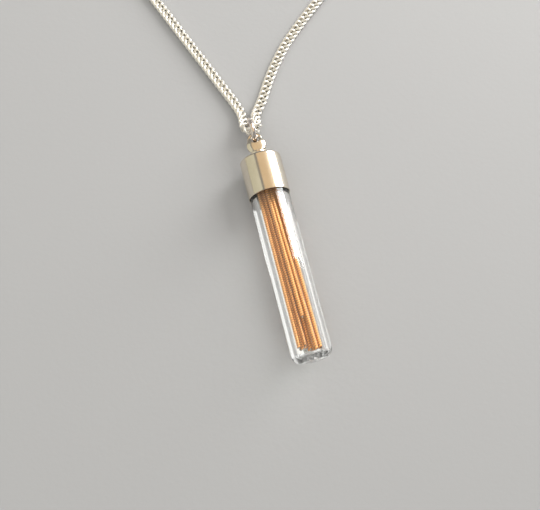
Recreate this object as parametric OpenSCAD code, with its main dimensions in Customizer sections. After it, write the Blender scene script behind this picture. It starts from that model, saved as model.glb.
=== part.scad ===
/* [Glass tube] */
// Outer diameter of the glass tube
glass_d = 8; // [6:0.1:12]
// Thickness of the tube's side wall
glass_wall = 1.25; // [0.7:0.05:2]
// Length of the glass that shows below the cap
glass_show = 34.1; // [20:0.1:60]
// Thickness of the solid glass base
glass_base = 1.3; // [1:0.1:4]
// Radius of the tube's rounded bottom edge
base_round = 1.85; // [0.4:0.05:2.5]
// Radius of the bore's rounded floor edge
floor_round = 0.4; // [0.2:0.05:0.8]

/* [Cap] */
// Height of the cap from its open rim to its flat top
cap_h = 8.4; // [6:0.1:14]
// Thickness of the cap's side wall
cap_wall = 0.22; // [0.15:0.01:0.5]
// Thickness of the cap's top
cap_top = 0.8; // [0.5:0.05:1.5]
// Radius of the cap's rounded shoulder
cap_round = 0.6; // [0.3:0.05:1.2]
// Gap between the cap and the glass inside it
cap_gap = 0.06; // [0.03:0.01:0.2]

/* [Eye] */
// Diameter of the collar between cap and eye
collar_d = 3.6; // [2.6:0.1:5]
// Height of the collar above the cap
collar_h = 1.4; // [0.4:0.05:2]
// Diameter of the eye's round body
eye_d = 4.1; // [3.6:0.1:6]
// Thickness of the eye's body along its hole
eye_t = 1.7; // [1.2:0.05:2]
// Thickness of the wire that closes the eye at its far end
eye_wire = 0.75; // [0.5:0.05:0.9]
// Play of the jump ring's wire in the eye's hole
eye_play = 0.65; // [0.6:0.05:1.2]

/* [Jump ring] */
// Thickness of the jump ring's wire
ring_wire = 1; // [0.6:0.05:1.1]
// Room in the jump ring beside the chain's width
ring_room = 1.8; // [1.6:0.05:3]

/* [Chain] */
// Length of the whole necklace, clasp included
chain_len = 457; // [380:1:760]
// Width of the chain across its flat links
chain_w = 2.2; // [1.4:0.05:2.4]
// Thickness of the chain as it lies
chain_t = 1.3; // [0.8:0.05:1.5]

/* [Clasp] */
// Diameter of the clasp's barrel
clasp_d = 3; // [2:0.1:5]
// Length of the clasp's barrel
clasp_len = 9; // [5:0.5:16]
// Outer diameter of the clasp's end loops
clasp_loop_d = 2.4; // [1.6:0.1:4]
// Thickness of the wire of these loops
clasp_wire = 0.45; // [0.3:0.05:0.8]
// Gap between a clasp loop and the chain's end
clasp_gap = 0.12; // [0.1:0.01:0.3]

/* [Strings] */
// Gap between the strings' cut ends and what closes the tube
string_gap = 0.15; // [0.1:0.05:1]
// How far the shortest string stops before the others
short_by = 6.5; // [2:0.5:15]

/* [Hidden] */
$fn = 96;

// Lengths along the tube's axis are counted from the cap's rim: up to the eye is plus.
glass_r = glass_d / 2;
bore_r = glass_r - glass_wall;
cap_bore_r = glass_r + cap_gap;
cap_r = cap_bore_r + cap_wall;
glass_top = cap_h - cap_top - cap_gap;
bore_floor = glass_base - glass_show;

// The eye sinks a little into its collar; its hole opens the body's far end, which a wire closes.
eye_lip = 0.05;
eye_r = eye_d / 2;
eye_sink = 0.2 * eye_r;
eye_z = cap_h + collar_h + eye_r - eye_sink;
hole_d = ring_wire + eye_play;
eye_wire_r = (hole_d + eye_wire) / 2 + eye_lip;
hole_z = eye_z + eye_r - hole_d / 2 + eye_lip;

// The tube lies on the cap's rim and on its own bottom edge, turned a little on the surface.
axis_turn = 14;
axis_rise = atan((cap_r - glass_r) / (glass_show - base_round));
rim_z = cap_r * cos(axis_rise);

// The jump ring stands in the eye's hole, its far side dropped.
ring_drop = 20;
ring_r = (chain_w + ring_room + ring_wire) / 2;
ring_along = hole_z + ring_r * cos(ring_drop);
ring_down = ring_r * sin(ring_drop);
ring_z = rim_z + ring_along * sin(axis_rise) - ring_down;

// Chosen points of the chain about the jump ring: along and across the tube's axis, counted
// from the ring's middle, the share of its lift in the ring, and how far it is rolled on edge.
ROUTE = [
  [9.85, -2.2, 0.0, 12],
  [7.15, -1.35, 0.08, 28],
  [5.2, -1.05, 0.3, 42],
  [3.6, -1.2, 0.6, 60],
  [2.1, -1.45, 0.85, 76],
  [0.9, -1.1, 0.97, 86],
  [0.5, 0.0, 1.0, 90],
  [0.9, 1.15, 0.97, 80],
  [2.1, 1.6, 0.85, 68],
  [3.5, 1.65, 0.6, 52],
  [4.9, 1.95, 0.35, 36],
  [6.4, 2.85, 0.12, 20],
  [8.35, 4.15, 0.0, 8],
  [12.4, 6.5, 0.0, 0],
  [16.0, 8.9, 0.0, 0],
  [19.95, 12.0, 0.0, 0],
  [23.45, 15.4, 0.0, 0],
  [27.55, 19.8, 0.0, 0]
];
// Beyond them the chain runs straight, half this angle to each side, and closes in a round.
spread = 35;
lift_z = ring_z - 0.55;
chain_z = chain_t / 2;

// A place given along and across the tube's axis, as a turn and a shift on the surface
function turned(p) = [
  p[1] * cos(axis_turn) - p[0] * sin(axis_turn),
  p[1] * sin(axis_turn) + p[0] * cos(axis_turn)
];
// Point i of a smooth line through the list, at share t of the way to the next
function at(list, i) = list[max(0, min(len(list) - 1, i))];
function smooth(list, i, t) =
  let (a = at(list, i - 1), b = at(list, i), c = at(list, i + 1), d = at(list, i + 2))
  (2 * b + (c - a) * t + (2 * a - 5 * b + 4 * c - d) * pow(t, 2)
    + (3 * b - a - 3 * c + d) * pow(t, 3)) / 2;
// The steps are finer where the chain bends round the ring.
near = concat(
  [for (i = [0 : len(ROUTE) - 2])
    let (n = i < 3 ? 1 : i < 9 ? 3 : i < 12 ? 2 : 1)
    for (k = [0 : n - 1]) smooth(ROUTE, i, k / n)],
  [at(ROUTE, len(ROUTE) - 1)]
);
near_xy = [for (p = near) turned([p[0] + ring_along, p[1]])];
near_len = [for (i = [1 : len(near) - 1]) norm(near_xy[i] - near_xy[i - 1])]
  * [for (i = [1 : len(near) - 1]) 1];

// The two straight stretches would meet in a corner; the round touches both.
left_start = near_xy[0];
right_start = near_xy[len(near_xy) - 1];
left_way = [-sin(spread), cos(spread)];
to_corner = right_start - left_start;
left_skip = (to_corner[0] / tan(spread) - to_corner[1]) / (2 * cos(spread));
corner = left_start - left_skip * left_way;
right_skip = norm(right_start - corner);
round_r = (chain_len - near_len + left_skip + right_skip)
  / (2 / tan(spread) + PI * (1 + spread / 90));
tangent = round_r / tan(spread);
round_mid = corner + [0, round_r / sin(spread)];

// The clasp lies at the back of the round, and the chain rises to its loops there.
clasp_half = clasp_len / 2 + clasp_loop_d - clasp_wire / 2;
clasp_turn = (clasp_half + clasp_gap) / round_r * 180 / PI;
clasp_z = clasp_d / 2;
step = 8.5;
function stretch(a, b, n) = [for (i = [1 : n]) a + (b - a) * i / n];
function round_at(angle) = round_mid + round_r * [cos(angle), sin(angle)];
left_steps = ceil((tangent - left_skip) / step);
right_steps = ceil((tangent - right_skip) / step);
side_steps = ceil(round_r * (90 - clasp_turn) * PI / 180 / step);
low_steps = ceil(round_r * spread * PI / 180 / step);
// Angles round the circle, from the clasp down its left side; the right side mirrors them.
angles = concat(
  [for (i = [0 : side_steps]) 90 + clasp_turn + (90 - clasp_turn) * i / side_steps],
  [for (i = [1 : low_steps]) 180 + spread * i / low_steps]
);
left_xy = concat(
  [for (a = angles) round_at(a)],
  stretch(round_at(180 + spread), left_start, left_steps)
);
right_xy = concat(
  stretch(right_start, round_at(-spread), right_steps),
  [for (i = [1 : len(angles) - 1]) round_at(180 - angles[len(angles) - 1 - i])]
);
function end_z(i) = chain_z + (clasp_z - chain_z) * [1, 0.4, 0.05, 0][min(i, 3)];
last = len(right_xy) - 1;
left_part = [for (i = [0 : len(left_xy) - 2]) [left_xy[i][0], left_xy[i][1], end_z(i), 0]];
near_part = [for (i = [0 : len(near) - 1])
  [near_xy[i][0], near_xy[i][1], chain_z + near[i][2] * (lift_z - chain_z), near[i][3]]];
right_part = [for (i = [0 : last]) [right_xy[i][0], right_xy[i][1], end_z(last - i), 0]];
// Middle line of the whole chain, each point with its roll
LINE = concat(left_part, near_part, right_part);

// The model stands with the middle of its box over the origin.
tip_lean = cos(axis_turn) * cos(axis_rise);
tip_y = -((glass_show - base_round) * tip_lean + (glass_r - base_round)
  * sqrt(1 - tip_lean * tip_lean) + base_round);
rim_x = -round_mid[0];
rim_y = -(round_mid[1] + round_r + clasp_z + tip_y) / 2;

// Strings at the tube's cap end and at its floor: across and up from the tube's axis, and the
// radius, all as shares of the bore's radius; 1 in the last column marks the short string.
STRINGS = [
  [-0.737, -0.042, -0.739, -0.036, 0.145, 0],
  [-0.514, -0.207, -0.509, -0.191, 0.113, 0],
  [-0.395, 0.002, -0.276, 0.036, 0.109, 0],
  [-0.172, 0.171, 0.051, 0.109, 0.153, 1],
  [0.08, -0.106, 0.415, -0.035, 0.156, 0],
  [0.582, -0.183, 0.745, -0.164, 0.175, 0],
  [-0.638, -0.491, -0.644, -0.474, 0.153, 0],
  [-0.312, -0.44, -0.319, -0.435, 0.153, 0],
  [0.067, -0.426, 0.053, -0.388, 0.145, 0],
  [0.407, -0.506, 0.437, -0.472, 0.175, 0],
  [-0.183, -0.777, -0.184, -0.764, 0.167, 0],
  [0.171, -0.792, 0.165, -0.764, 0.164, 0]
];
string_top = cap_h - cap_top - string_gap;
string_foot = bore_floor + floor_round + string_gap;

// Lays what is built upright about the tube's axis down on the surface
module lay_down() {
  translate([rim_x, rim_y, rim_z])
    rotate([0, 0, 90 + axis_turn])
      rotate([0, 90 - axis_rise, 0])
        children();
}

// Half outline of a round body from 0 up, its edge there rounded, or the edges at both ends
module rounded_half(radius, height, edge, both = false) {
  intersection() {
    square([radius, height]);
    union() {
      translate([0, edge]) square([radius, height - edge * (both ? 2 : 1)]);
      square([radius - edge, height]);
      translate([radius - edge, edge]) circle(edge);
      if (both) translate([radius - edge, height - edge]) circle(edge);
    }
  }
}

module glass_tube() {
  color("lightcyan", 0.5)
    lay_down()
      difference() {
        translate([0, 0, -glass_show])
          rotate_extrude()
            rounded_half(glass_r, glass_show + glass_top, base_round);
        translate([0, 0, bore_floor])
          rotate_extrude()
            rounded_half(bore_r, glass_top - bore_floor + 1, floor_round);
      }
}

// Flat round body with a fully rounded rim, its hole's axis upright
module pebble(radius, thickness) {
  rotate_extrude() {
    translate([0, -thickness / 2]) square([radius - thickness / 2, thickness]);
    intersection() {
      translate([radius - thickness / 2, 0]) circle(thickness / 2);
      translate([0, -thickness / 2]) square([radius, thickness]);
    }
  }
}

module wire_ring(radius, wire) {
  rotate_extrude() translate([radius, 0]) circle(wire / 2, $fn = 48);
}

module cap() {
  color("silver")
    lay_down()
      difference() {
        union() {
          translate([0, 0, cap_h])
            mirror([0, 0, 1])
              rotate_extrude()
                rounded_half(cap_r, cap_h, cap_round);
          cylinder(h = cap_h + collar_h, d = collar_d);
          translate([0, 0, eye_z]) rotate([0, 90, 0]) pebble(eye_r, eye_t);
          translate([0, 0, hole_z]) rotate([0, 90, 0]) wire_ring(eye_wire_r, eye_wire);
        }
        translate([0, 0, -1]) cylinder(h = cap_h - cap_top + 1, r = cap_bore_r);
        translate([0, 0, hole_z]) rotate([0, 90, 0])
          cylinder(h = 2 * eye_t, d = hole_d, center = true);
      }
}

module jump_ring() {
  color("lightgray")
    lay_down()
      translate([ring_down, 0, ring_along])
        rotate([90, 0, 0])
          wire_ring(ring_r, ring_wire);
}

// One cross ring of the chain's tube, square to the line there
sides = 12;
function cross_ring(i) =
  let (
    p = at(LINE, i),
    way = at(LINE, i + 1) - at(LINE, i - 1),
    ahead = [way[0], way[1], way[2]] / norm([way[0], way[1], way[2]]),
    across = [ahead[1], -ahead[0], 0] / norm([ahead[0], ahead[1]]),
    up = cross(across, ahead),
    wide = across * cos(p[3]) + up * sin(p[3]),
    thick = up * cos(p[3]) - across * sin(p[3])
  )
  [for (k = [0 : sides - 1])
    [p[0], p[1], p[2]] + wide * cos(k * 360 / sides) * chain_w / 2
      + thick * sin(k * 360 / sides) * chain_t / 2];

module chain() {
  rings = len(LINE);
  points = [for (i = [0 : rings - 1]) each cross_ring(i)];
  faces = concat(
    [[for (k = [0 : sides - 1]) k]],
    [[for (k = [0 : sides - 1]) rings * sides - 1 - k]],
    [for (i = [0 : rings - 2]) for (k = [0 : sides - 1])
      let (a = i * sides + k, b = i * sides + (k + 1) % sides)
      each [[a, a + sides, b], [b, a + sides, b + sides]]]
  );
  color("gainsboro")
    translate([rim_x, rim_y, 0])
      polyhedron(points, faces);
}

module clasp() {
  color("silver")
    translate([rim_x + round_mid[0], rim_y + round_mid[1] + round_r, clasp_z]) {
      rotate([0, 90, 0])
        translate([0, 0, -clasp_len / 2])
          rotate_extrude()
            rounded_half(clasp_d / 2, clasp_len, clasp_d / 5, both = true);
      for (side = [-1, 1])
        translate([side * (clasp_len - clasp_wire + clasp_loop_d) / 2, 0, 0])
          wire_ring((clasp_loop_d - clasp_wire) / 2, clasp_wire);
    }
}

// One straight string; the short one stops before the others
module wound_string(i) {
  row = STRINGS[i] * bore_r;
  head = [-row[1], -row[0], string_top];
  foot = [-row[3], -row[2], string_foot];
  tip = foot + (head - foot) * (STRINGS[i][5] * short_by / (string_top - string_foot));
  way = head - tip;
  color("peru")
    lay_down()
      translate(tip)
        rotate([0, acos(way[2] / norm(way)), atan2(way[1], way[0])])
          cylinder(h = norm(way), r = row[4], $fn = 32);
}

module string_1() { wound_string(0); }
module string_2() { wound_string(1); }
module string_3() { wound_string(2); }
module string_4() { wound_string(3); }
module string_5() { wound_string(4); }
module string_6() { wound_string(5); }
module string_7() { wound_string(6); }
module string_8() { wound_string(7); }
module string_9() { wound_string(8); }
module string_10() { wound_string(9); }
module string_11() { wound_string(10); }
module string_12() { wound_string(11); }

glass_tube();
cap();
jump_ring();
chain();
clasp();
string_1();
string_2();
string_3();
string_4();
string_5();
string_6();
string_7();
string_8();
string_9();
string_10();
string_11();
string_12();
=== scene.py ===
import math
import bmesh
import bpy
import numpy as np
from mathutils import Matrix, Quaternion, Vector


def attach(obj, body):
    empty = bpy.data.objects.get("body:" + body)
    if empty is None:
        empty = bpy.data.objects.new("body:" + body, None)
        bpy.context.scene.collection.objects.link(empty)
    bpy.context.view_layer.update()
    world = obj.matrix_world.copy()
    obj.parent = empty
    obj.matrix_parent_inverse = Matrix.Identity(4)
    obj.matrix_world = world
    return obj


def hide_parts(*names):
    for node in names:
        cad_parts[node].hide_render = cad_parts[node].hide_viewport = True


# Lengths are in millimetres until a mesh, a light or the camera is made, and metres after that.
mm = 0.001

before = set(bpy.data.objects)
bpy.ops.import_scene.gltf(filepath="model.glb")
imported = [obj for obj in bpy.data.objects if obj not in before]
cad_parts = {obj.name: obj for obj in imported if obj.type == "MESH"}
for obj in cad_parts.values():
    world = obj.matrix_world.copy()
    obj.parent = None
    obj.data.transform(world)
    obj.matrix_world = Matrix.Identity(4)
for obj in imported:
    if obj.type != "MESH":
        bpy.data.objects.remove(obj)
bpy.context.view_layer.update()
print("frame loaded:", len(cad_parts), "nodes")

# Sizes shared with the source
vial = {
    "glassR": 4.0, "wall": 1.25, "show": 34.1, "base": 1.3, "baseRound": 1.85, "floorRound": 0.4,
    "capH": 8.4, "capWall": 0.22, "capTop": 0.8, "capRound": 0.6, "capGap": 0.06,
    "collarR": 1.8, "collarH": 1.4, "eyeR": 2.05, "eyeStand": 0.8, "holeD": 1.65, "eyeLip": 0.05,
    "turn": 14.0, "inside": 0.01,  # how far the dressed tube, cap and clasp stay inside the solids
}
vial["boreR"] = vial["glassR"] - vial["wall"]
vial["capBoreR"] = vial["glassR"] + vial["capGap"]
vial["capR"] = vial["capBoreR"] + vial["capWall"]
vial["glassTop"] = vial["capH"] - vial["capTop"] - vial["capGap"]
vial["boreFloor"] = vial["base"] - vial["show"]
vial["eyeZ"] = vial["capH"] + vial["collarH"] + vial["eyeStand"] * vial["eyeR"]
vial["holeZ"] = vial["eyeZ"] + vial["eyeR"] - vial["holeD"] / 2 + vial["eyeLip"]
vial["toTip"] = vial["show"] - vial["baseRound"]
vial["rise"] = math.degrees(math.atan((vial["capR"] - vial["glassR"]) / vial["toTip"]))
vial["rimZ"] = vial["capR"] * math.cos(math.radians(vial["rise"]))

ring = {"wire": 1.0, "radius": 2.5, "drop": 20.0}
ring["along"] = vial["holeZ"] + ring["radius"] * math.cos(math.radians(ring["drop"]))
ring["down"] = ring["radius"] * math.sin(math.radians(ring["drop"]))
ring["z"] = (vial["rimZ"] + ring["along"] * math.sin(math.radians(vial["rise"]))
             - ring["down"])

necklace = {
    "length": 457.0, "thick": 1.3, "spread": 35.0,
    "claspD": 3.0, "claspLen": 9.0, "loopD": 2.4, "loopWire": 0.45,
    # along and across the tube's axis from the ring's middle, share of the lift, roll
    "route": [
        (9.85, -2.2, 0.0, 12), (7.15, -1.35, 0.08, 28), (5.2, -1.05, 0.3, 42),
        (3.6, -1.2, 0.6, 60), (2.1, -1.45, 0.85, 76), (0.9, -1.1, 0.97, 86),
        (0.5, 0.0, 1.0, 92), (0.9, 1.15, 0.97, 100), (2.1, 1.6, 0.85, 112),
        (3.5, 1.65, 0.6, 128), (4.9, 1.95, 0.35, 144), (6.4, 2.85, 0.12, 160),
        (8.35, 4.15, 0.0, 172), (12.4, 6.5, 0.0, 180), (16.0, 8.9, 0.0, 180),
        (19.95, 12.0, 0.0, 180), (23.45, 15.4, 0.0, 180), (27.55, 19.8, 0.0, 180),
    ],
    "routeSteps": [1] * 3 + [3] * 6 + [2] * 3 + [1] * 5,
    "bendRow": 6,  # the row where the bend round the ring turns back
}


def catmull(rows, i, t):
    a, b, c, d = (rows[max(0, min(len(rows) - 1, i + k))] for k in (-1, 0, 1, 2))
    square, cube = 2 * a - 5 * b + 4 * c - d, 3 * b - a - 3 * c + d
    return (2 * b + (c - a) * t + square * t ** 2 + cube * t ** 3) / 2


def smoothRows(rows, counts):
    out = [catmull(rows, i, k / counts[i]) for i in range(len(rows) - 1) for k in range(counts[i])]
    return np.array(out + [rows[-1]])


# x and y, from the rim, of places given along and across the tube's axis
def onFloor(rows):
    turn = math.radians(vial["turn"])
    along, across = rows[:, 0] + ring["along"], rows[:, 1]
    return np.stack([across * math.cos(turn) - along * math.sin(turn),
                     across * math.sin(turn) + along * math.cos(turn)], 1)


# The loop's closing round and the rim's place, in the same steps as the source
def layOut():
    n, v = necklace, vial
    coarse = onFloor(smoothRows(np.array(n["route"], float), n["routeSteps"]))
    spread = math.radians(n["spread"])
    nearLen = np.linalg.norm(np.diff(coarse, axis=0), axis=1).sum()
    left, right = coarse[0], coarse[-1]
    leftWay = np.array([-math.sin(spread), math.cos(spread)])
    gap = right - left
    leftSkip = (gap[0] / math.tan(spread) - gap[1]) / (2 * math.cos(spread))
    corner = left - leftSkip * leftWay
    rightSkip = np.linalg.norm(right - corner)
    farLen = n["length"] - nearLen + leftSkip + rightSkip
    radius = farLen / (2 / math.tan(spread) + math.pi * (1 + n["spread"] / 90))
    middle = corner + np.array([0, radius / math.sin(spread)])
    lean = math.cos(math.radians(v["turn"])) * math.cos(math.radians(v["rise"]))
    tipY = -(v["toTip"] * lean + v["baseRound"]
             + (v["glassR"] - v["baseRound"]) * math.sqrt(1 - lean * lean))
    backY = middle[1] + radius + n["claspD"] / 2
    rim = np.array([-middle[0], -(backY + tipY) / 2, v["rimZ"]])
    return {"radius": radius, "middle": middle, "rim": rim}


lay = layOut()
print("rim at", lay["rim"].round(3), "round", round(lay["radius"], 3))


def turnMatrix():
    a, b = math.radians(90 + vial["turn"]), math.radians(90 - vial["rise"])
    ry = np.array([[math.cos(b), 0, math.sin(b)], [0, 1, 0], [-math.sin(b), 0, math.cos(b)]])
    rz = np.array([[math.cos(a), -math.sin(a), 0], [math.sin(a), math.cos(a), 0], [0, 0, 1]])
    return rz @ ry


layTurn = turnMatrix()


# Points built upright about the tube's axis, laid down on the surface
def laid(points):
    return np.asarray(points, float) @ layTurn.T + lay["rim"]


# Quads over a grid of points whose columns close on themselves
def gridFaces(rows, columns, loopRows=False):
    r = np.arange(rows if loopRows else rows - 1)[:, None]
    c = np.arange(columns)[None, :]
    nextR, nextC = (r + 1) % rows, (c + 1) % columns
    quads = [r * columns + c, r * columns + nextC, nextR * columns + nextC, nextR * columns + c]
    return np.stack(quads, -1).reshape(-1, 4).tolist()


def endFaces(rows, columns):
    last = (rows - 1) * columns
    return [list(range(columns - 1, -1, -1)), list(range(last, last + columns))]


# An outline of (radius, height), from axis to axis, turned about the upright axis
def lathe(profile, segments):
    angle = np.arange(segments) * 2 * math.pi / segments
    rows = np.array(profile[1:-1], float)
    points = np.stack([rows[:, :1] * np.cos(angle), rows[:, :1] * np.sin(angle),
                       np.repeat(rows[:, 1:], segments, 1)], -1).reshape(-1, 3)
    first, last = len(points), len(points) + 1
    points = np.vstack([points, [0, 0, profile[0][1]], [0, 0, profile[-1][1]]])
    faces = gridFaces(len(rows), segments)
    top = (len(rows) - 1) * segments
    for k in range(segments):
        n = (k + 1) % segments
        faces += [[first, n, k], [last, top + k, top + n]]
    return points, faces


# Arc points (radius, height) about a centre, angles in degrees
def roundCorner(centre, radius, start, end, steps):
    angles = [math.radians(start + (end - start) * i / steps) for i in range(steps + 1)]
    return [(centre[0] + radius * math.cos(a), centre[1] + radius * math.sin(a)) for a in angles]


def torus(radius, wire, around, sides):
    a = np.arange(around)[:, None] * 2 * math.pi / around
    b = np.arange(sides)[None, :] * 2 * math.pi / sides
    reach = radius + wire / 2 * np.cos(b)
    points = np.stack([reach * np.cos(a), reach * np.sin(a), wire / 2 * np.sin(b) + 0 * a], -1)
    return points.reshape(-1, 3), gridFaces(around, sides, loopRows=True)


# Several (points, faces) as one
def joined(parts):
    points, faces, start = [], [], 0
    for p, f in parts:
        points.append(p)
        faces += [[i + start for i in face] for face in f]
        start += len(p)
    return np.vstack(points), faces


def makeMesh(name, points, faces, material, slots=None):
    mesh = bpy.data.meshes.new(name)
    mesh.from_pydata((np.asarray(points) * mm).tolist(), [], faces)
    for m in material if isinstance(material, list) else [material]:
        mesh.materials.append(m)
    if slots is not None:
        mesh.polygons.foreach_set("material_index", slots)
    work = bmesh.new()
    work.from_mesh(mesh)
    bmesh.ops.recalc_face_normals(work, faces=work.faces)
    work.to_mesh(mesh)
    work.free()
    mesh.polygons.foreach_set("use_smooth", [True] * len(mesh.polygons))
    piece = bpy.data.objects.new(name, mesh)
    bpy.context.scene.collection.objects.link(piece)
    return piece


# A number at each point of the mesh, for its material to read
def giveValue(piece, name, values):
    layer = piece.data.attributes.new(name, "FLOAT", "POINT")
    layer.data.foreach_set("value", np.asarray(values, np.float32))


def belongs(piece, node):
    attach(piece, "root")
    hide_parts(node)
    return piece


def nodeGroup(name, inputs, outputs):
    group = bpy.data.node_groups.new(name, "ShaderNodeTree")
    for label, kind, value in inputs:
        socket = group.interface.new_socket(label, in_out="INPUT", socket_type=kind)
        if value is not None:
            socket.default_value = value
    for label, kind in outputs:
        group.interface.new_socket(label, in_out="OUTPUT", socket_type=kind)
    return group, group.nodes.new("NodeGroupInput"), group.nodes.new("NodeGroupOutput")


def mathNode(tree, operation, a, b=None, clamp=False):
    node = tree.nodes.new("ShaderNodeMath")
    node.operation, node.use_clamp = operation, clamp
    for socket, value in zip(node.inputs, (a, b)):
        if isinstance(value, (int, float)):
            socket.default_value = value
        elif value is not None:
            tree.links.new(value, socket)
    return node.outputs[0]


def noiseNode(tree, vector, scale, detail=3.0, roughness=0.55):
    node = tree.nodes.new("ShaderNodeTexNoise")
    node.inputs["Detail"].default_value = detail
    node.inputs["Roughness"].default_value = roughness
    tree.links.new(vector, node.inputs["Vector"])
    if isinstance(scale, (int, float)):
        node.inputs["Scale"].default_value = scale
    else:
        tree.links.new(scale, node.inputs["Scale"])
    return node.outputs[0]


def mixColor(tree, factor, a, b):
    node = tree.nodes.new("ShaderNodeMix")
    node.data_type = "RGBA"
    # the factor, A, B and the result of the node's colour kind
    for socket, value in zip((node.inputs[0], node.inputs[6], node.inputs[7]), (factor, a, b)):
        if isinstance(value, bpy.types.NodeSocket):
            tree.links.new(value, socket)
        else:
            socket.default_value = value
    return node.outputs[2]


def bumpNode(tree, height, strength, distance):
    node = tree.nodes.new("ShaderNodeBump")
    node.inputs["Strength"].default_value = strength
    node.inputs["Distance"].default_value = distance
    tree.links.new(height, node.inputs["Height"])
    return node.outputs["Normal"]


# Clean metal dulled in cloudy patches of tarnished colour, and darkened in its recesses by painted
# shade
def buildTarnishShade():
    patchFrom, patchGain = 0.4, 3.0
    group, into, out = nodeGroup("Tarnish and recess shade", [
        ("Vector", "NodeSocketVector", None), ("Clean", "NodeSocketColor", (0.9, 0.9, 0.88, 1)),
        ("Dull", "NodeSocketColor", (0.5, 0.45, 0.4, 1)), ("RecessShade", "NodeSocketFloat", 0.0),
        ("Patches", "NodeSocketFloat", 0.2), ("Scale", "NodeSocketFloat", 400.0),
        ("Roughness", "NodeSocketFloat", 0.2), ("Spread", "NodeSocketFloat", 0.15),
    ], [("Color", "NodeSocketColor"), ("Roughness", "NodeSocketFloat")])
    cloud = noiseNode(group, into.outputs["Vector"], into.outputs["Scale"], 4.0, 0.6)
    above = mathNode(group, "SUBTRACT", cloud, patchFrom, True)
    patch = mathNode(group, "MULTIPLY", above, patchGain, True)
    # how far the colour goes to the darker one: tarnished patches, plus the painted shade in
    # recesses
    amount = mathNode(group, "ADD", mathNode(group, "MULTIPLY", patch, into.outputs["Patches"]),
                      into.outputs["RecessShade"], True)
    color = mixColor(group, amount, into.outputs["Clean"], into.outputs["Dull"])
    rough = mathNode(group, "ADD", into.outputs["Roughness"],
                     mathNode(group, "MULTIPLY", amount, into.outputs["Spread"]), True)
    group.links.new(color, out.inputs["Color"])
    group.links.new(rough, out.inputs["Roughness"])
    return group


# Fine drawn or polished lines, as a height
def buildGrain():
    group, into, out = nodeGroup("Drawn grain", [
        ("Vector", "NodeSocketVector", None), ("Stretch", "NodeSocketVector", (1, 1, 1)),
        ("Scale", "NodeSocketFloat", 3000.0), ("Speckle", "NodeSocketFloat", 0.3),
    ], [("Height", "NodeSocketFloat")])
    pull = group.nodes.new("ShaderNodeVectorMath")
    pull.operation = "MULTIPLY"
    group.links.new(into.outputs["Vector"], pull.inputs[0])
    group.links.new(into.outputs["Stretch"], pull.inputs[1])
    lines = noiseNode(group, pull.outputs[0], into.outputs["Scale"], 2.0)
    dots = noiseNode(group, into.outputs["Vector"], into.outputs["Scale"], 2.0)
    speckle = mathNode(group, "MULTIPLY", dots, into.outputs["Speckle"])
    group.links.new(mathNode(group, "ADD", lines, speckle), out.inputs["Height"])
    return group


tarnishShade, grain = buildTarnishShade(), buildGrain()


def newMaterial(name):
    material = bpy.data.materials.new(name)
    material.use_nodes = True
    return material, material.node_tree, material.node_tree.nodes["Principled BSDF"]


def place(tree, group, **values):
    node = tree.nodes.new("ShaderNodeGroup")
    node.node_tree = group
    for label, value in values.items():
        node.inputs[label].default_value = value
    return node


# Object coordinates turned so that x runs along the tube
def alongAxis(tree):
    where = tree.nodes.new("ShaderNodeTexCoord")
    turn = tree.nodes.new("ShaderNodeMapping")
    turn.inputs["Rotation"].default_value = (0, 0, math.radians(-90 - vial["turn"]))
    tree.links.new(where.outputs["Object"], turn.inputs["Vector"])
    return turn.outputs[0]


# A metal finish: tarnished patches and painted shade in recesses for colour and roughness, drawn
# grain for the bump
def metal(name, clean, dullAndShade, roughness, spread, patches, scale, stretch, grainScale, bump,
          shadeDepth=0.0, metallic=1.0):
    grainHigh = 0.00002
    material, tree, shader = newMaterial(name)
    vector = alongAxis(tree)
    dullingShade = place(tree, tarnishShade, Clean=(*clean, 1), Dull=(*dullAndShade, 1), Patches=patches,
                    Scale=scale, Roughness=roughness, Spread=spread)
    tree.links.new(vector, dullingShade.inputs["Vector"])
    # painted shade in recesses, read from a value at each point of the mesh
    if shadeDepth:
        read = tree.nodes.new("ShaderNodeAttribute")
        read.attribute_name = "recessShade"
        recessShade = mathNode(tree, "MULTIPLY", read.outputs["Fac"], shadeDepth, True)
        tree.links.new(recessShade, dullingShade.inputs["RecessShade"])
    tree.links.new(dullingShade.outputs["Color"], shader.inputs["Base Color"])
    tree.links.new(dullingShade.outputs["Roughness"], shader.inputs["Roughness"])
    shader.inputs["Metallic"].default_value = metallic
    lines = place(tree, grain, Stretch=stretch, Scale=grainScale)
    tree.links.new(vector, lines.inputs["Vector"])
    tree.links.new(bumpNode(tree, lines.outputs["Height"], bump, grainHigh), shader.inputs["Normal"])
    return material


# Clear glass that lets lamplight through to what is inside it
def clearGlass(name, roughness=0.0, ripple=0.0):
    rippleScale, rippleHigh, lampTint = 1400.0, 0.0003, (0.93, 0.94, 0.935, 1)
    material, tree, shader = newMaterial(name)
    shader.inputs["Base Color"].default_value = (0.985, 0.995, 0.99, 1)
    shader.inputs["Roughness"].default_value = roughness
    if ripple:
        where = tree.nodes.new("ShaderNodeTexCoord")
        waves = noiseNode(tree, where.outputs["Object"], rippleScale, 2.0)
        tree.links.new(bumpNode(tree, waves, ripple, rippleHigh), shader.inputs["Normal"])
    shader.inputs["IOR"].default_value = 1.5
    shader.inputs["Transmission Weight"].default_value = 1.0
    path = tree.nodes.new("ShaderNodeLightPath")
    clear = tree.nodes.new("ShaderNodeBsdfTransparent")
    mix = tree.nodes.new("ShaderNodeMixShader")
    clear.inputs["Color"].default_value = lampTint
    tree.links.new(path.outputs["Is Shadow Ray"], mix.inputs[0])
    tree.links.new(shader.outputs[0], mix.inputs[1])
    tree.links.new(clear.outputs[0], mix.inputs[2])
    tree.links.new(mix.outputs[0], tree.nodes["Material Output"].inputs["Surface"])
    return material


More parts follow.
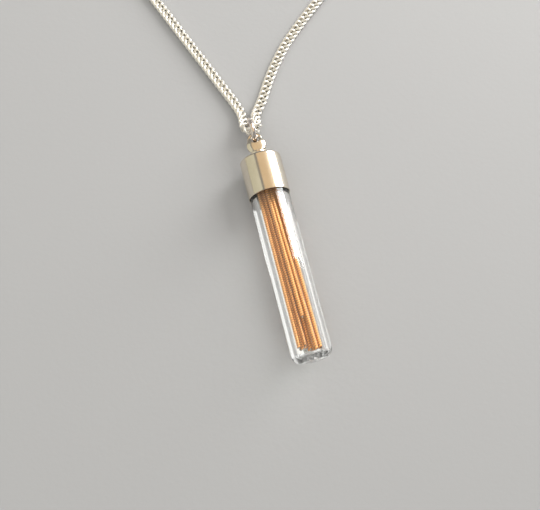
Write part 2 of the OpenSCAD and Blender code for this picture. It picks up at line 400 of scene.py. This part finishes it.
finishes = {
    "glass": clearGlass("Clear glass"),
    "glassFloor": clearGlass("Melted glass floor", roughness=0.15, ripple=0.9),
    "cap": metal("Satin cap silver", clean=(0.77, 0.705, 0.60), dullAndShade=(0.57, 0.49, 0.37),
                 roughness=0.16, spread=0.14, patches=0.35, scale=260.0,
                 stretch=(0.15, 1, 1), grainScale=4200.0, bump=0.12),
    "ring": metal("Ring silver", clean=(0.93, 0.86, 0.82), dullAndShade=(0.62, 0.50, 0.46),
                  roughness=0.12, spread=0.2, patches=0.3, scale=500.0,
                  stretch=(0.3, 1, 1), grainScale=3000.0, bump=0.1),
    # its darker colour also paints shade on the inner side of each link's wire, standing partly for
    # tarnished hollows
    "chain": metal("Chain silver", clean=(0.97, 0.945, 0.87), dullAndShade=(0.42, 0.385, 0.32),
                   roughness=0.32, spread=0.2, patches=0.12, scale=700.0,
                   stretch=(1, 1, 1), grainScale=4000.0, bump=0.1, shadeDepth=0.6, metallic=0.7),
    # its near-black colour paints shade in the grooves between turns of wire, and also colours its
    # tarnished patches
    "bronze": metal("Wound bronze", clean=(0.97, 0.485, 0.185), dullAndShade=(0.09, 0.023, 0.006),
                    roughness=0.42, spread=0.2, patches=0.15, scale=900.0,
                    stretch=(1, 1, 1), grainScale=6000.0, bump=0.1, shadeDepth=1.0, metallic=0.7),
    "core": metal("String core steel", clean=(0.62, 0.60, 0.58), dullAndShade=(0.25, 0.22, 0.2),
                  roughness=0.3, spread=0.2, patches=0.4, scale=900.0,
                  stretch=(1, 1, 1), grainScale=5000.0, bump=0.1),
}
print("materials made")

glassLook = {
    "around": 144, "lip": 0.3, "lipFrom": 10, "lipSteps": 6, "roundSteps": 14, "wallRings": 12,
    "clear": 0.4, "tipFlat": 0.6, "boreFrom": 1, "floorFlat": 1.2, "slack": 0.01,
}


def makeGlass():
    v, g, r, f = vial, glassLook, vial["baseRound"], vial["floorRound"]
    outer, tip, lip = v["glassR"] - v["inside"], v["inside"] - v["show"], g["lip"]
    lipZ = v["glassTop"] - lip
    outline = [(0, tip), (outer - r - g["tipFlat"], tip)]
    outline += roundCorner((outer - r, tip + r), r, -90, 0, g["roundSteps"])
    outline += [(outer, z) for z in np.linspace(tip + r + g["clear"], lipZ, g["wallRings"])]
    outline += roundCorner((outer - lip, lipZ), lip, g["lipFrom"], 90, g["lipSteps"])
    outline += roundCorner((v["boreR"] + lip, lipZ), lip, 90, 180, g["lipSteps"])
    boreFoot = v["boreFloor"] + f + g["clear"]
    bore = np.linspace(v["glassTop"] - g["boreFrom"], boreFoot, g["wallRings"])
    outline += [(v["boreR"], z) for z in bore]
    outline += roundCorner((v["boreR"] - f, v["boreFloor"] + f), f, 0, -90, g["roundSteps"])
    outline += [(g["floorFlat"], v["boreFloor"]), (0, v["boreFloor"])]
    points, faces = lathe(outline, g["around"])
    # the bore's floor, melted shut, isn't as smooth as the drawn tube
    over, reach = points[:, 2] - v["boreFloor"], np.hypot(points[:, 0], points[:, 1])
    melted = (over > -g["slack"]) & (over < f + g["slack"]) & (reach < v["boreR"] + g["slack"])
    piece = makeMesh("glass_vial", laid(points), faces, [finishes["glass"], finishes["glassFloor"]],
                     [int(melted[face].all()) for face in faces])
    return belongs(piece, "glass_tube")


makeGlass()
print("glass tube made")

capLook = {
    "around": 144, "rimRound": 0.1, "rimSteps": 4, "clear": 0.15, "outerClear": 0.1,
    "innerFlat": 0.5, "innerRound": 0.3, "innerFrom": 0.9, "innerSteps": 5, "innerRings": 8,
    "outerRings": 10, "shoulderSteps": 14, "topRings": (2.8, 2.3), "fillet": 0.45,
    "filletSteps": 7, "collarRound": 0.18, "collarSteps": 5, "collarFlat": 1.0,
    "eyeFoot": 9.15, "weld": 0.0005, "voxel": 0.06, "softening": 0.5, "softSteps": 30,
    "crown": 0.55, "crownMost": 0.32, "crownFrom": 0.3, "crownOver": 1.2,
}


def makeCapBody():
    v, c = vial, capLook
    top, inner, outer, rimR = v["capH"], v["capBoreR"], v["capR"] - v["inside"], c["rimRound"]
    roof, shoulder, f, edge = top - v["capTop"], v["capRound"], c["fillet"], c["collarRound"]
    collarTop = top + v["collarH"]
    outline = [(0, roof), (inner - c["innerFlat"], roof)]
    outline += roundCorner((inner - c["innerRound"], roof - c["innerRound"]), c["innerRound"],
                           90, 0, c["innerSteps"])
    wall = np.linspace(roof - c["innerFrom"], rimR + c["clear"], c["innerRings"])
    outline += [(inner, z) for z in wall]
    outline += roundCorner((inner + rimR, rimR), rimR, 180, 270, c["rimSteps"])
    outline += roundCorner((outer - rimR, rimR), rimR, 270, 360, c["rimSteps"])
    wall = np.linspace(rimR + c["clear"], top - shoulder - c["outerClear"], c["outerRings"])
    outline += [(outer, z) for z in wall]
    outline += roundCorner((outer - shoulder, top - shoulder), shoulder, 0, 90, c["shoulderSteps"])
    outline += [(x, top) for x in c["topRings"]]
    outline += roundCorner((v["collarR"] + f, top + f), f, 270, 180, c["filletSteps"])
    outline += roundCorner((v["collarR"] - edge, collarTop - edge), edge, 0, 90, c["collarSteps"])
    outline += [(c["collarFlat"], collarTop), (0, collarTop)]
    points, faces = lathe(outline, c["around"])
    piece = makeMesh("cap_body", laid(points), faces, finishes["cap"])
    return belongs(piece, "cap")


# What stands above the collar's foot in the source, its joints softened as solder softens them
def makeCapEye():
    v, c = vial, capLook
    work = bmesh.new()
    work.from_mesh(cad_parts["cap"].data)
    back = [Vector((layTurn.T @ (np.array(p.co) / mm - lay["rim"])).tolist()) for p in work.verts]
    for p, at in zip(work.verts, back):
        p.co = at
    bmesh.ops.remove_doubles(work, verts=work.verts, dist=c["weld"])
    cut = bmesh.ops.bisect_plane(work, geom=work.verts[:] + work.edges[:] + work.faces[:],
                                 plane_co=(0, 0, c["eyeFoot"]), plane_no=(0, 0, 1),
                                 clear_inner=True)
    edges = [e for e in cut["geom_cut"] if isinstance(e, bmesh.types.BMEdge)]
    bmesh.ops.holes_fill(work, edges=[e for e in edges if e.is_valid], sides=0)
    mesh = bpy.data.meshes.new("cap_eye")
    work.to_mesh(mesh)
    work.free()
    eye = bpy.data.objects.new("cap_eye", mesh)
    bpy.context.scene.collection.objects.link(eye)
    remesh = eye.modifiers.new("Remesh", "REMESH")
    remesh.mode, remesh.voxel_size = "VOXEL", c["voxel"]
    soften = eye.modifiers.new("Soften", "SMOOTH")
    soften.factor, soften.iterations = c["softening"], c["softSteps"]
    bpy.context.view_layer.update()
    softened = eye.evaluated_get(bpy.context.evaluated_depsgraph_get())
    done = bpy.data.meshes.new_from_object(softened)
    points = np.array([p.co for p in done.vertices])
    faces = [list(p.vertices) for p in done.polygons]
    bpy.data.objects.remove(eye)
    # its faces are crowned, thickest at the middle
    reach = np.hypot(points[:, 1], points[:, 2] - v["eyeZ"]) / v["eyeR"]
    over = points[:, 2] - v["capH"] - v["collarH"] + c["crownFrom"]
    free = np.clip(over / c["crownOver"], 0, 1)
    points[:, 0] *= 1 - free * np.minimum(c["crown"] * reach ** 2, c["crownMost"])
    piece = makeMesh("cap_eye", laid(points), faces, finishes["cap"])
    return belongs(piece, "cap")


makeCapBody()
makeCapEye()
print("cap made")

ringLook = {
    "around": 120, "sides": 28, "seam": 0.03, "seamTurn": 0.35,
    "edges": (0.004, 0.015), "edgeWire": (0.9, 0.975),
}


# A round of wire whose two cut ends meet in a fine seam
def makeRing():
    look, r, wire, full = ringLook, ring["radius"], ring["wire"] / 2, 2 * math.pi
    half, (near, far), sides = look["seam"] / 2 / r, look["edges"], look["sides"]
    body = np.linspace(half + far, full - half - far, look["around"])
    angles = np.concatenate([[half, half + near], body, [full - half - near, full - half]])
    thick = np.full(len(angles), wire)
    thick[[0, -1]] = wire * look["edgeWire"][0]
    thick[[1, -2]] = wire * look["edgeWire"][1]
    a = angles[:, None] + look["seamTurn"] * math.pi
    b = np.arange(sides)[None, :] * 2 * math.pi / sides
    reach = r + thick[:, None] * np.cos(b)
    high = thick[:, None] * np.sin(b) + 0 * a
    points = np.stack([reach * np.cos(a), high, reach * np.sin(a)], -1).reshape(-1, 3)
    points += np.array([ring["down"], 0, ring["along"]])
    faces = gridFaces(len(angles), sides) + endFaces(len(angles), sides)
    piece = makeMesh("jump_ring_wire", laid(points), faces, finishes["ring"])
    return belongs(piece, "jump_ring")


makeRing()
print("jump ring made")

strings = {
    "gap": 0.15, "shortBy": 6.5, "pitch": 0.45, "wireHigh": 0.28, "wireWide": 0.44,
    # how fast the painted shade rises towards the grooves between turns
    "around": 12, "sides": 8, "turnEach": 0.37, "bare": 0.08, "recessShade": 1.1,
    "coreSides": 12, "coreEdge": 0.03, "coreBite": 0.03,
    # across and up at the cap, across and up at the floor, radius, as shares of the bore's
    # radius; 1 for the short one; length cut back at the floor
    "rows": [
        (-0.737, -0.042, -0.739, -0.036, 0.145, 0, 0.85),
        (-0.514, -0.207, -0.509, -0.191, 0.113, 0, 0.6),
        (-0.395, 0.002, -0.276, 0.036, 0.109, 0, 0.9),
        (-0.172, 0.171, 0.051, 0.109, 0.153, 1, 0.0),
        (0.08, -0.106, 0.415, -0.035, 0.156, 0, 0.2),
        (0.582, -0.183, 0.745, -0.164, 0.175, 0, 0.0),
        (-0.638, -0.491, -0.644, -0.474, 0.153, 0, 0.7),
        (-0.312, -0.44, -0.319, -0.435, 0.153, 0, 0.75),
        (0.067, -0.426, 0.053, -0.388, 0.145, 0, 0.3),
        (0.407, -0.506, 0.437, -0.472, 0.175, 0, 0.15),
        (-0.183, -0.777, -0.184, -0.764, 0.167, 0, 0.5),
        (0.171, -0.792, 0.165, -0.764, 0.164, 0, 0.3),
    ],
}


# A steel core with a bronze wire wound round it
def makeString(number, row):
    s = strings
    top = vial["capH"] - vial["capTop"] - s["gap"]
    foot = vial["boreFloor"] + vial["floorRound"] + s["gap"]
    headX, headUp, lowX, lowUp, radius = (value * vial["boreR"] for value in row[:5])
    head, low = np.array([-headUp, -headX, top]), np.array([-lowUp, -lowX, foot])
    low = low + (head - low) * ((row[5] * s["shortBy"] + row[6]) / (top - foot))
    length = np.linalg.norm(head - low)
    way = (head - low) / length
    side = np.cross(way, [0, 1, 0])
    side /= np.linalg.norm(side)
    other = np.cross(way, side)
    high, wide, sides = s["wireHigh"] / 2, s["wireWide"] / 2, s["sides"]

    # the wound wire: its middle line is a helix, its section a small polygon with a corner outward
    margin = wide + s["bare"]
    steps = int((length - 2 * margin) / s["pitch"] * s["around"]) + 1
    t = np.arange(steps) / s["around"]
    angle = (t + s["turnEach"] * number) * 2 * math.pi
    out = np.cos(angle)[:, None] * side + np.sin(angle)[:, None] * other
    centre = low + way * (margin + t * s["pitch"])[:, None] + out * (radius - high)
    tilt = np.arange(sides) * 2 * math.pi / sides
    points = (centre[:, None] + high * np.cos(tilt)[None, :, None] * out[:, None]
              + wide * np.sin(tilt)[None, :, None] * way).reshape(-1, 3)
    faces = gridFaces(steps, sides) + endFaces(steps, sides)
    # painted shade: each turn of wire darkens towards the grooves beside it, where shade falls
    recessShade = np.tile(np.clip(s["recessShade"] * (1 - np.cos(tilt)), 0, 1), steps)

    # the core, cut square, stands a little out of the winding
    coreR, e = radius - 2 * high + s["coreBite"], s["coreEdge"]
    turn = np.arange(s["coreSides"]) * 2 * math.pi / s["coreSides"]
    edge = np.cos(turn)[:, None] * side + np.sin(turn)[:, None] * other
    levels = [(0.0, coreR - e), (e, coreR), (length - e, coreR), (length, coreR - e)]
    core = np.vstack([low + way * z + edge * r for z, r in levels])
    coreFaces = gridFaces(len(levels), s["coreSides"]) + endFaces(len(levels), s["coreSides"])

    slots = [0] * len(faces) + [1] * len(coreFaces)
    points, faces = joined([(points, faces), (core, coreFaces)])
    piece = makeMesh(f"wound_string_{number}", laid(points), faces,
                     [finishes["bronze"], finishes["core"]], slots)
    # the painted groove shade goes to the wire, none to the core
    giveValue(piece, "recessShade", np.concatenate([recessShade, np.zeros(len(core))]))
    return belongs(piece, f"string_{number}")


for number, row in enumerate(strings["rows"], 1):
    makeString(number, row)
print("strings made")

links = {
    "long": 0.98, "wide": 0.8, "twist": 0.38, "wire": 0.6, "press": 0.55,
    "around": 16, "sides": 6, "pitch": 1.3, "firstLink": 6.7,
    "drawn": 0.4, "drawnOver": 1.6,  # the bend round the ring draws its links apart
    "underRing": 0.55, "easeOver": 7, "claspOver": 16,
    "standAt": (0, 1.3, 24), "standRoll": (90, 89, 0),  # next to the clasp the links stand up
    "reach": 0.65, "rollOver": (-1.2, -0.4, 0.4, 1.2), "floorGap": 0.01,
    "arcSteps": 900, "fineSteps": 40,
}


def smoothShare(share):
    share = np.clip(share, 0, 1)
    return share * share * (3 - 2 * share)


def lengthAlong(points):
    return np.concatenate([[0], np.cumsum(np.linalg.norm(np.diff(points, axis=0), axis=1))])


def unit(rows):
    return rows / np.linalg.norm(rows, axis=1)[:, None]


# The chain's middle line from the clasp's left loop round to its right: x, y, z and roll
def chainLine():
    n, k = necklace, links
    radius, middle = lay["radius"], lay["middle"]
    start = math.asin(k["firstLink"] / radius)
    down = np.linspace(math.pi / 2 + start, math.pi + math.radians(n["spread"]), k["arcSteps"])
    arc = middle + radius * np.stack([np.cos(down), np.sin(down)], 1)
    # close to the clasp the chain comes in on its own line
    fromClasp = radius * (down - math.pi / 2) - k["firstLink"]
    arc[:, 1] += radius * (1 - math.cos(start)) * (1 - smoothShare(fromClasp / k["easeOver"]))
    left = np.hstack([arc, np.zeros((len(arc), 2))])
    right = left[::-1] * [-1, 1, 1, 1] + [2 * middle[0], 0, 0, n["route"][-1][3]]
    rows = np.array(n["route"], float)
    fine = smoothRows(rows, [k["fineSteps"]] * (len(rows) - 1))
    near = np.hstack([onFloor(fine), fine[:, 2:]])
    line = np.vstack([left, near, right])
    gone = lengthAlong(line[:, :2])
    fromEnd = np.minimum(gone, gone[-1] - gone)
    lowZ, liftZ = n["thick"] / 2, ring["z"] - k["underRing"]
    atClasp = 1 - smoothShare(fromEnd / k["claspOver"])
    z = lowZ + line[:, 2] * (liftZ - lowZ) + atClasp * (n["claspD"] / 2 - lowZ)
    stand = np.interp(fromEnd, k["standAt"], k["standRoll"])
    roll = line[:, 3] + stand * np.where(gone < gone[-1] / 2, -1, 1)
    points = np.column_stack([line[:, 0], line[:, 1], z, roll])
    bend = len(left) + k["fineSteps"] * n["bendRow"]
    return points + [lay["rim"][0], lay["rim"][1], 0, 0], bend


# How far along each link sits; one is where the bend round the ring turns back
def linkPlaces(length, bend):
    k = links
    before, after = round(bend / k["pitch"]), round((length - bend) / k["pitch"])
    places = np.concatenate([np.linspace(0, bend, before + 1),
                             np.linspace(bend, length, after + 1)[1:]])
    print("chain:", len(places), "links, pitch", round(bend / before, 4),
          round((length - bend) / after, 4))
    away = places - bend
    return places + k["drawn"] * np.tanh(away / k["drawnOver"]) * (1 - np.abs(away) / bend)


# One twisted link's points, and how far each of them faces inward, for painted shade on the inner
# side of its wire
def oneLink():
    k = links
    t = np.arange(k["around"]) * 2 * math.pi / k["around"]
    sin, cos, twist = np.sin(t), np.cos(t), k["twist"]
    middle = np.stack([k["long"] * cos, k["wide"] * sin, -twist * np.sin(2 * t)], 1)
    way = unit(np.stack([-k["long"] * sin, k["wide"] * cos, -2 * twist * np.cos(2 * t)], 1))
    out = middle * [1, 1, 0]
    out = unit(out - (out * way).sum(1)[:, None] * way)
    other = np.cross(way, out)
    tilt = np.arange(k["sides"]) * 2 * math.pi / k["sides"]
    # where a link lies uppermost its wire is pressed broader, to the outside
    press = 1 + k["press"] * np.sin(2 * t)[:, None] ** 2 * (np.cos(tilt)[None, :] > 0)
    section = ((np.cos(tilt)[None, :] * press)[:, :, None] * out[:, None]
               + np.sin(tilt)[None, :, None] * other[:, None])
    points = (middle[:, None] + k["wire"] / 2 * section).reshape(-1, 3)
    return points, np.tile(np.clip(0.5 - 0.5 * np.cos(tilt), 0, 1), k["around"]) ** 2


def makeChain():
    k = links
    line, bend = chainLine()
    gone = lengthAlong(line[:, :3])

    def at(where):
        return np.column_stack([np.interp(where, gone, line[:, i]) for i in range(4)])

    places = linkPlaces(gone[-1], gone[bend])
    here = at(places)[:, :3]
    rolls = [at(np.clip(places + shift, 0, gone[-1]))[:, 3] for shift in k["rollOver"]]
    roll = np.radians(sum(rolls) / len(rolls))[:, None]
    ahead = at(np.minimum(places + k["reach"], gone[-1])) - at(np.maximum(places - k["reach"], 0))
    ahead = unit(ahead[:, :3])
    across = unit(np.stack([ahead[:, 1], -ahead[:, 0], 0 * ahead[:, 0]], 1))
    up = np.cross(across, ahead)
    wide = across * np.cos(roll) + up * np.sin(roll)
    thick = up * np.cos(roll) - across * np.sin(roll)
    one, inward = oneLink()
    points = (here[:, None] + one[None, :, :1] * ahead[:, None]
              + one[None, :, 1:2] * wide[:, None] + one[None, :, 2:] * thick[:, None])
    sunk = np.maximum(k["floorGap"] - points[:, :, 2].min(1), 0)
    points[:, :, 2] += sunk[:, None]  # each link rests on the surface
    oneFaces = np.array(gridFaces(k["around"], k["sides"], loopRows=True))
    starts = (np.arange(len(places)) * len(one))[:, None, None]
    faces = (oneFaces[None] + starts).reshape(-1, 4).tolist()
    piece = makeMesh("curb_chain", points.reshape(-1, 3), faces, finishes["chain"])
    # painted shade on the inner side of each link's wire, standing partly for tarnished hollows
    giveValue(piece, "recessShade", np.tile(inward, len(places)))
    return belongs(piece, "chain")


makeChain()
print("chain made")

clasp = {
    "around": 72, "groove": 0.22, "grooveDeep": 0.16, "grooveShare": 0.6, "endRound": 0.5,
    "endFlat": 0.6, "endSteps": 9, "midRing": 0.6, "lip": 0.06, "lipClear": 0.12,
    "lipTurn": -60, "lipSteps": 3, "loopAround": 48, "loopSides": 14,
}


def makeClasp():
    n, c = necklace, clasp
    r, half = n["claspD"] / 2 - vial["inside"], n["claspLen"] / 2
    e, g, lip, deep = c["endRound"], c["groove"] / 2, c["lip"], r - c["grooveDeep"]
    side = [(0, half), (c["endFlat"], half)]
    side += roundCorner((r - e, half - e), e, 90, 0, c["endSteps"])
    side += [(r, half * c["midRing"]), (r, g + c["lipClear"])]
    side += roundCorner((r - lip, g + lip), lip, 0, c["lipTurn"], c["lipSteps"])
    side += [(deep, g * c["grooveShare"]), (deep, 0)]
    points, faces = lathe(side + [(x, -z) for x, z in side[-2::-1]], c["around"])
    parts = [(points[:, [2, 1, 0]], faces)]
    loopX = (n["claspLen"] - n["loopWire"] + n["loopD"]) / 2
    for way in (-1, 1):
        loop, loopFaces = torus((n["loopD"] - n["loopWire"]) / 2, n["loopWire"],
                                c["loopAround"], c["loopSides"])
        parts.append((loop + [way * loopX, 0, 0], loopFaces))
    points, faces = joined(parts)
    points = points + [lay["rim"][0] + lay["middle"][0],
                       lay["rim"][1] + lay["middle"][1] + lay["radius"], n["claspD"] / 2]
    piece = makeMesh("clasp_barrel", points, faces, finishes["ring"])
    return belongs(piece, "clasp")


makeClasp()
print("clasp made")

studio = {
    "floor": (0.35, 0.346, 0.34), "floorRough": 0.8, "floorHalf": 900,
    "floorGrain": 900.0, "floorBump": 0.15, "floorBumpHigh": 0.0002,
    "world": (0.30, 0.295, 0.28), "worldLow": (0.17, 0.165, 0.155), "worldStrength": 1.0,
    "horizon": 0.06, "horizonGain": 8.0, "stripZ": 0.004,
}

# tilt to the vial's right from straight up, in degrees, and along from the rim to the eye
lamps = {
    "window_key": {"tilt": 61, "distance": 520, "along": 276, "size": (460, 300),
                   "power": 5.8, "reflected": True},
    "ceiling_fill": {"tilt": -15, "distance": 500, "along": 60, "size": (1100, 1100),
                     "power": 4.0, "reflected": False},
}
cards = {
    "ceiling_card": {"tilt": 13, "distance": 300, "along": 95, "size": (375, 420),
                     "color": (0.84, 0.64, 0.42), "strength": 1.0},
    "side_card": {"tilt": -60, "distance": 300, "along": 60, "size": (333, 420),
                  "color": (0.66, 0.64, 0.51), "strength": 1.0},
}
# across from the vial's axis, and down from the rim
strips = {
    "gathered_light_left": {"across": (-5.6, -1.6), "down": (1.0, 36.0),
                            "color": (1.0, 0.99, 0.96), "strength": 1.1},
    "gathered_light_right": {"across": (1.2, 3.4), "down": (5.5, 36.0),
                             "color": (1.0, 0.99, 0.96), "strength": 1.1},
    "gathered_light_far": {"across": (7.4, 12.5), "down": (0.0, 36.0),
                           "color": (1.0, 0.97, 0.92), "strength": 0.9},
}
# the picture's width and the lens in pixels; where it is from the rim's place on the floor, and
# how many degrees it looks down
photo = {
    "wide": 540, "focal": 700, "sensor": 36.0, "clip": (0.005, 10),
    "fromRim": (0.05, -52.67, 135.22), "down": 72.9,
}


def makeFloor():
    material, tree, shader = newMaterial("Pale floor")
    where = tree.nodes.new("ShaderNodeTexCoord")
    fine = noiseNode(tree, where.outputs["Object"], studio["floorGrain"], 4.0)
    raised = bumpNode(tree, fine, studio["floorBump"], studio["floorBumpHigh"])
    shader.inputs["Base Color"].default_value = (*studio["floor"], 1)
    shader.inputs["Roughness"].default_value = studio["floorRough"]
    tree.links.new(raised, shader.inputs["Normal"])
    size = studio["floorHalf"]
    points = [(-size, -size, 0), (size, -size, 0), (size, size, 0), (-size, size, 0)]
    makeMesh("studio_floor", points, [[0, 1, 2, 3]], material)


# The ways to the vial's right and to its eye, along the surface
def vialWays():
    turn = math.radians(vial["turn"])
    return (np.array([math.cos(turn), math.sin(turn), 0]),
            np.array([-math.sin(turn), math.cos(turn), 0]))


# A light or a card stood square to the vial, its long side along the tube
def facingVial(name, data, look):
    thing = bpy.data.objects.new(name, data)
    bpy.context.scene.collection.objects.link(thing)
    lean, (right, eyeward) = math.radians(look["tilt"]), vialWays()
    inward = -(right * math.sin(lean) + np.array([0, 0, 1]) * math.cos(lean))
    thing.location = (lay["rim"] - inward * look["distance"] + eyeward * look["along"]) * mm
    thing.rotation_mode = "QUATERNION"
    facing, along = Vector(inward.tolist()).to_track_quat("-Z", "Y"), Vector(eyeward.tolist())
    flat = facing.to_matrix()
    spin = math.atan2(flat.col[0].dot(along), flat.col[1].dot(along))
    thing.rotation_quaternion = facing @ Quaternion((0, 0, 1), -spin)
    thing.visible_camera = False
    return thing


def softLight(name, look):
    data = bpy.data.lights.new(name, "AREA")
    data.shape, data.energy = "RECTANGLE", look["power"]
    data.size, data.size_y = look["size"][0] * mm, look["size"][1] * mm
    facingVial(name, data, look).visible_glossy = look["reflected"]


def glowMaterial(name, look):
    material, tree, shader = newMaterial(name)
    shader.inputs["Base Color"].default_value = (0, 0, 0, 1)
    shader.inputs["Emission Color"].default_value = (*look["color"], 1)
    shader.inputs["Emission Strength"].default_value = look["strength"]
    return material


# A card that shows in polished surfaces alone
def glowCard(name, look):
    mesh = bpy.data.meshes.new(name)
    x, y = look["size"][0] / 2 * mm, look["size"][1] / 2 * mm
    mesh.from_pydata([(-x, -y, 0), (x, -y, 0), (x, y, 0), (-x, y, 0)], [], [[0, 1, 2, 3]])
    mesh.materials.append(glowMaterial(name, look))
    card = facingVial(name, mesh, look)
    card.visible_diffuse = card.visible_shadow = False


# The light that the tube gathers on the floor beside it: a strip that shows through glass alone
def gatheredLight(name, look):
    (right, eyeward), (x0, x1), (near, far) = vialWays(), look["across"], look["down"]
    base = lay["rim"] * [1, 1, 0] + [0, 0, studio["stripZ"]]
    corners = [(x0, far), (x1, far), (x1, near), (x0, near)]
    points = [base + right * x - eyeward * y for x, y in corners]
    strip = makeMesh(name, points, [[0, 1, 2, 3]], glowMaterial(name, look))
    strip.visible_camera = strip.visible_diffuse = False
    strip.visible_glossy = strip.visible_shadow = False


def makeWorld():
    world = bpy.data.worlds.new("Studio grey")
    bpy.context.scene.world = world
    world.use_nodes = True
    tree = world.node_tree
    where = tree.nodes.new("ShaderNodeTexCoord")
    split = tree.nodes.new("ShaderNodeSeparateXYZ")
    tree.links.new(where.outputs["Generated"], split.inputs[0])
    above = mathNode(tree, "SUBTRACT", split.outputs[2], studio["horizon"], True)
    height = mathNode(tree, "MULTIPLY", above, studio["horizonGain"], True)
    color = mixColor(tree, height, (*studio["worldLow"], 1), (*studio["world"], 1))
    background = tree.nodes["Background"]
    tree.links.new(color, background.inputs["Color"])
    background.inputs["Strength"].default_value = studio["worldStrength"]


def makeCamera():
    camera = bpy.data.objects.new("photo_camera", bpy.data.cameras.new("photo_camera"))
    bpy.context.scene.collection.objects.link(camera)
    camera.data.sensor_fit, camera.data.sensor_width = "HORIZONTAL", photo["sensor"]
    camera.data.lens = photo["focal"] / photo["wide"] * photo["sensor"]
    camera.data.clip_start, camera.data.clip_end = photo["clip"]
    camera.location = (lay["rim"] * [1, 1, 0] + np.array(photo["fromRim"])) * mm
    camera.rotation_euler = (math.radians(90 - photo["down"]), 0, 0)
    bpy.context.scene.camera = camera


makeFloor()
makeWorld()
for name, look in lamps.items():
    softLight(name, look)
for name, look in cards.items():
    glowCard(name, look)
for name, look in strips.items():
    gatheredLight(name, look)
makeCamera()
bpy.context.scene.view_settings.view_transform = "Standard"
print("stage, lights and camera made")

for old in ("Cube", "Light", "Camera"):
    if old in bpy.data.objects:
        bpy.data.objects.remove(bpy.data.objects[old])
